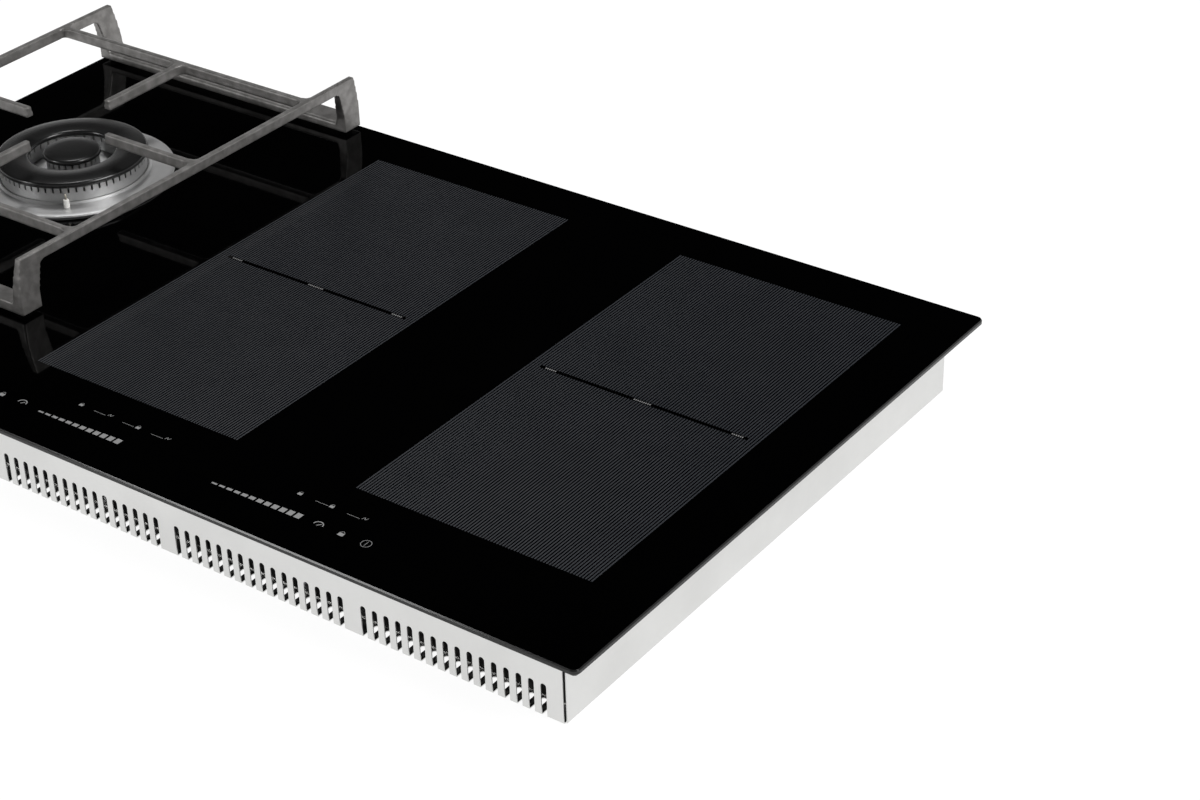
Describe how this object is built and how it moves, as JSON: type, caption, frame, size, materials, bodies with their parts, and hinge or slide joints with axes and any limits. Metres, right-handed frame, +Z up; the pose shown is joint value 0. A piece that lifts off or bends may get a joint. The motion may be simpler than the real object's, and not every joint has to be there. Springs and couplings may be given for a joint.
{
  "type": "built-in hybrid cooktop",
  "caption": "Built-in hybrid hob: black glass plate with bridged induction zones and touch controls, a wok gas burner under a cast-iron pan support, in a slotted sheet-metal casing.",
  "frame": {"origin": "middle of the casing's flat base, under the centre of the glass top", "axes": "+X to the right along the glass's long side, +Y to the back, +Z up"},
  "size_m": [0.9, 0.52, 0.1125],
  "materials": {
    "black_glass": "polished black glass-ceramic",
    "foam": "matte foam",
    "silicone": "satin silicone",
    "casing_steel": "satin sheet",
    "screw_steel": "zinc plated",
    "cast_iron": "matte enamel",
    "rubber": "moulded",
    "burner_alloy": "die cast",
    "gasket": "fibre gasket",
    "enamel_black": "satin enamel",
    "ceramic_white": "glazed",
    "sensor_steel": "heat tinted",
    "brass": "turned",
    "valve_alloy": "die cast",
    "knob_metal": "satin, spun top",
    "bezel_steel": "circular brushed",
    "black_plastic": "fine grain",
    "pipe_alloy": "drawn tube",
    "module_plastic": "moulded",
    "lead_silicone": "silicone sleeve",
    "copper": "enamelled litz wire",
    "carrier_plastic": "glass filled",
    "ferrite": "sintered",
    "plate_alloy": "mill sheet",
    "mica": "pressed mica",
    "circuit_board": "solder mask",
    "heat_sink": "extruded",
    "components": "moulded cases",
    "nylon": "nylon",
    "touch_foam": "conductive foam"
  },
  "bodies": {
    "casing": {"glass_top": "black_glass", "glass_seal": "foam", "glass_bond": "silicone", "front_panel": "casing_steel", "back_panel": "casing_steel", "left_side_panel": "casing_steel", "right_side_panel": "casing_steel", "bottom_plate": "casing_steel", "divider_wall": "casing_steel", "screws": "screw_steel", "burner_base": "burner_alloy", "burner_gasket": "gasket", "burner_bracket": "casing_steel", "spark_electrode": "ceramic_white", "flame_sensor": "sensor_steel", "injectors": "brass", "injector_holders": "valve_alloy", "gas_valve": "valve_alloy", "valve_bracket": "casing_steel", "ignition_switch": "black_plastic", "knob_bezel": "bezel_steel", "knob_seal": "rubber", "gas_inlet": "brass", "supply_pipe": "pipe_alloy", "burner_pipes": "pipe_alloy", "pipe_nuts": "brass", "ignition_module": "module_plastic", "ignition_lead": "lead_silicone", "coil_left_front": "copper", "coil_left_rear": "copper", "coil_right_front": "copper", "coil_right_rear": "copper", "coil_carriers": "carrier_plastic", "ferrite_bars": "ferrite", "coil_sensors": "ceramic_white", "coil_plates": "plate_alloy", "coil_plate_posts": "screw_steel", "mica_sheets": "mica", "power_boards": "circuit_board", "heat_sinks": "heat_sink", "board_components": "components", "board_standoffs": "nylon", "fan_housing_left": "black_plastic", "fan_housing_right": "black_plastic", "touch_board": "circuit_board", "touch_pads": "touch_foam", "touch_board_carrier": "black_plastic", "terminal_block": "module_plastic", "terminal_cover": "black_plastic", "cable_gland": "black_plastic"},
    "pan_support": {"pan_support": "cast_iron", "pan_support_feet": "rubber"},
    "flame_spreader": {"flame_spreader": "burner_alloy"},
    "outer_cap": {"outer_cap": "enamel_black"},
    "inner_cap": {"inner_cap": "enamel_black"},
    "knob_push": {"ignition_ring": "black_plastic"},
    "knob": {"control_knob": "knob_metal", "valve_stem": "brass"},
    "fan_left": {"fan_rotor_left": "black_plastic"},
    "fan_right": {"fan_rotor_right": "black_plastic"}
  },
  "joints": [
    {"name": "pan_support_lift", "type": "slide", "parent": "casing", "child": "pan_support", "axis": [0, 0, 1], "range_m": [0, 0.06]},
    {"name": "spreader_lift", "type": "slide", "parent": "casing", "child": "flame_spreader", "axis": [0, 0, 1], "range_m": [0, 0.007]},
    {"name": "outer_cap_lift", "type": "slide", "parent": "flame_spreader", "child": "outer_cap", "axis": [0, 0, 1], "range_m": [0, 0.007]},
    {"name": "inner_cap_lift", "type": "slide", "parent": "flame_spreader", "child": "inner_cap", "axis": [0, 0, 1], "range_m": [0, 0.007]},
    {"name": "knob_press", "type": "slide", "parent": "casing", "child": "knob_push", "axis": [0, 0, -1], "range_m": [0, 0.004], "stiffness_N_per_m": 1200, "springref_m": -0.004},
    {"name": "knob_turn", "type": "hinge", "parent": "knob_push", "child": "knob", "pos_m": [-0.3005, -0.202, 0.0805], "axis": [0, 0, 1], "range_deg": [0, 210]},
    {"name": "fan_left_spin", "type": "hinge", "parent": "casing", "child": "fan_left", "pos_m": [-0.0027, 0.10995, 0.016], "axis": [0, 0, 1], "continuous": true},
    {"name": "fan_right_spin", "type": "hinge", "parent": "casing", "child": "fan_right", "pos_m": [0.3043, 0.10995, 0.016], "axis": [0, 0, 1], "continuous": true}
  ]
}
